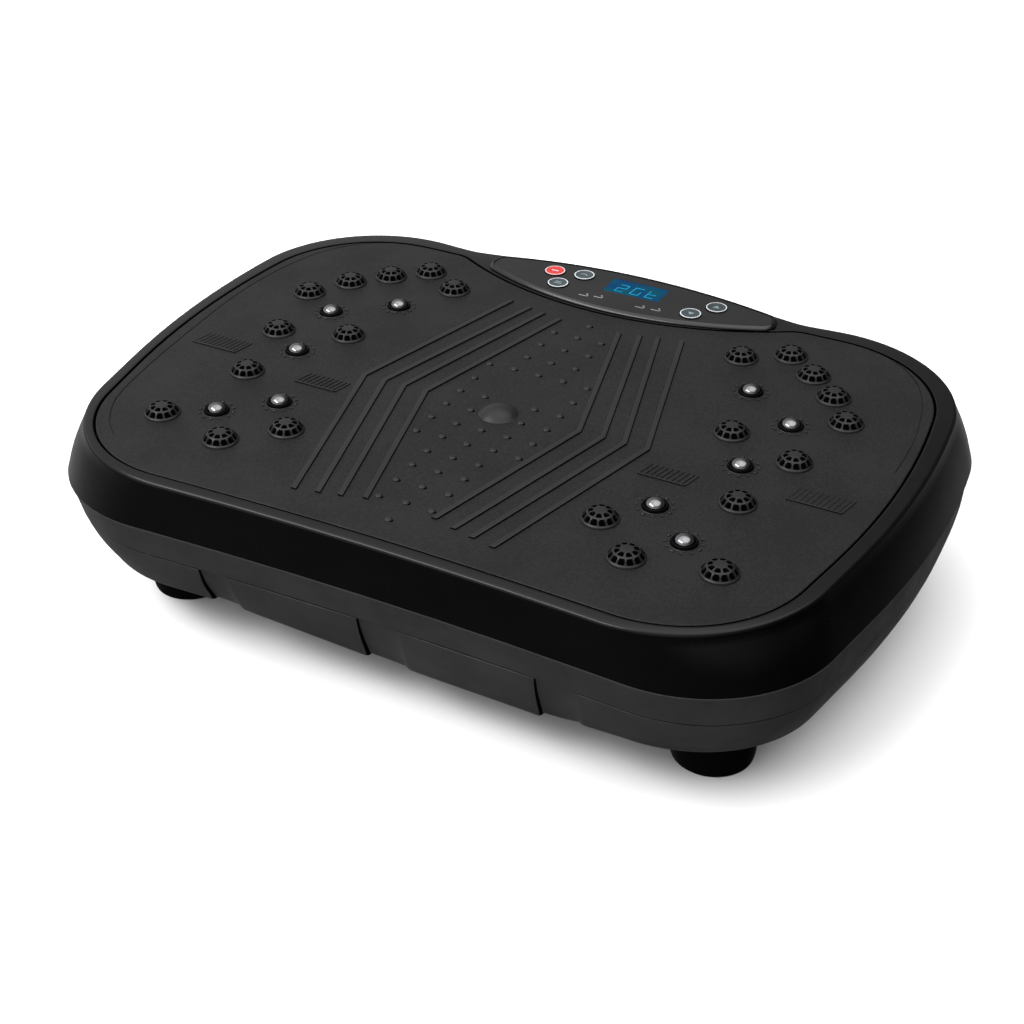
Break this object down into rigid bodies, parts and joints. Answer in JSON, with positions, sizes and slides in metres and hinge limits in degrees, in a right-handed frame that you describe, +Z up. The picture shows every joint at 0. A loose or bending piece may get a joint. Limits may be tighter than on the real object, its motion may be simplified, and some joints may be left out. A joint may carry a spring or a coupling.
{
  "type": "vibration plate",
  "caption": "Low rocking vibration platform with a studded tread mat, rear key panel, belt-driven eccentric drive and suction-cup feet.",
  "frame": {"origin": "on the floor, under the middle of the housing's outline", "axes": "+X along the long side, +Y from the front edge to the rear edge with the key panel, +Z up"},
  "size_m": [0.525, 0.378, 0.135],
  "materials": {
    "gloss_black_plastic": "semi-gloss moulded ABS, very fine grain on the top ring",
    "satin_black_plastic": "satin moulded ABS",
    "tread_rubber": "matt rubber-like tread with a fine leather grain",
    "black_rubber": "smooth black rubber",
    "polished_steel": "polished",
    "panel_film": "smooth printed film",
    "display_window": "blue backlit window; emissive",
    "red_key": "satin key with a white ring",
    "grey_key": "satin key with a white ring",
    "circuit_board": "solder mask",
    "socket_plastic": "moulded",
    "switch_plastic": "moulded rocker",
    "painted_steel": "black powder coat",
    "cast_metal": "as cast",
    "machined_steel": "ground",
    "motor_paint": "satin enamel"
  },
  "bodies": {
    "chassis": {"base_plate": "painted_steel", "foot_post_front_left": "satin_black_plastic", "foot_post_front_right": "satin_black_plastic", "foot_post_rear_left": "satin_black_plastic", "foot_post_rear_right": "satin_black_plastic", "suction_cup_front_left": "black_rubber", "suction_cup_front_right": "black_rubber", "suction_cup_rear_left": "black_rubber", "suction_cup_rear_right": "black_rubber", "rubber_buffer_front_left": "black_rubber", "rubber_buffer_front_right": "black_rubber", "rubber_buffer_rear_left": "black_rubber", "rubber_buffer_rear_right": "black_rubber", "motor": "motor_paint", "motor_bracket": "painted_steel", "motor_driver_board": "circuit_board", "drive_belt": "black_rubber", "pivot_bracket_front": "painted_steel", "pivot_bracket_rear": "painted_steel", "bearing_block_front": "cast_metal", "bearing_block_rear": "cast_metal"},
    "platform": {"upper_cover": "gloss_black_plastic", "lower_cover": "satin_black_plastic", "tread_mat": "tread_rubber", "deck_plate": "painted_steel", "magnet_stud_01": "polished_steel", "magnet_stud_02": "polished_steel", "magnet_stud_03": "polished_steel", "magnet_stud_04": "polished_steel", "magnet_stud_05": "polished_steel", "magnet_stud_06": "polished_steel", "magnet_stud_07": "polished_steel", "magnet_stud_08": "polished_steel", "magnet_stud_09": "polished_steel", "magnet_stud_10": "polished_steel", "control_panel": "panel_film", "display_lens": "display_window", "display_module": "satin_black_plastic", "control_board": "circuit_board", "inlet_panel": "satin_black_plastic", "power_inlet": "socket_plastic", "fuse_cap": "socket_plastic", "pivot_hanger_front": "painted_steel", "pivot_hanger_rear": "painted_steel", "rod_hanger_front": "painted_steel", "rod_hanger_rear": "painted_steel"},
    "crank": {"crank_shaft": "machined_steel", "crank_pulley": "cast_metal"},
    "motor_rotor": {"motor_shaft": "machined_steel", "motor_pulley": "cast_metal"},
    "rod_front": {"connecting_rod_front": "cast_metal"},
    "rod_rear": {"connecting_rod_rear": "cast_metal"},
    "power_key": {"power_button": "red_key"},
    "mode_key": {"mode_button": "grey_key"},
    "time_key": {"time_button": "grey_key"},
    "speed_down_key": {"speed_down_button": "grey_key"},
    "speed_up_key": {"speed_up_button": "grey_key"},
    "rocker": {"power_switch": "switch_plastic"}
  },
  "joints": [
    {"name": "platform_rock", "type": "hinge", "parent": "chassis", "child": "platform", "pos_m": [0, 0, 0.082], "axis": [0, 1, 0], "range_deg": [-1.1, 1.1], "stiffness_Nm_per_rad": 400},
    {"name": "crank_spin", "type": "hinge", "parent": "chassis", "child": "crank", "pos_m": [0.08, 0, 0.082], "axis": [0, 1, 0], "continuous": true},
    {"name": "motor_spin", "type": "hinge", "parent": "chassis", "child": "motor_rotor", "pos_m": [-0.09, 0, 0.082], "axis": [0, 1, 0], "continuous": true},
    {"name": "rod_front_turn", "type": "hinge", "parent": "crank", "child": "rod_front", "pos_m": [0.0815, -0.056, 0.082], "axis": [0, 1, 0], "continuous": true},
    {"name": "rod_rear_turn", "type": "hinge", "parent": "crank", "child": "rod_rear", "pos_m": [0.0815, 0.056, 0.082], "axis": [0, 1, 0], "continuous": true},
    {"name": "power_key_press", "type": "slide", "parent": "platform", "child": "power_key", "axis": [0, 0, -1], "range_m": [0, 0.0006], "stiffness_N_per_m": 3000},
    {"name": "mode_key_press", "type": "slide", "parent": "platform", "child": "mode_key", "axis": [0, 0, -1], "range_m": [0, 0.0006], "stiffness_N_per_m": 3000},
    {"name": "time_key_press", "type": "slide", "parent": "platform", "child": "time_key", "axis": [0, 0, -1], "range_m": [0, 0.0006], "stiffness_N_per_m": 3000},
    {"name": "speed_down_key_press", "type": "slide", "parent": "platform", "child": "speed_down_key", "axis": [0, 0, -1], "range_m": [0, 0.0006], "stiffness_N_per_m": 3000},
    {"name": "speed_up_key_press", "type": "slide", "parent": "platform", "child": "speed_up_key", "axis": [0, 0, -1], "range_m": [0, 0.0006], "stiffness_N_per_m": 3000},
    {"name": "power_switch_tilt", "type": "hinge", "parent": "platform", "child": "rocker", "pos_m": [0.014, 0.1802, 0.057], "axis": [0, 0, 1], "range_deg": [0, 16]}
  ],
  "couplings": [
    {"joint": "motor_spin", "follows": "crank_spin", "ratio": 1.906},
    {"joint": "rod_front_turn", "follows": "crank_spin", "ratio": -1},
    {"joint": "rod_rear_turn", "follows": "crank_spin", "ratio": -1}
  ]
}
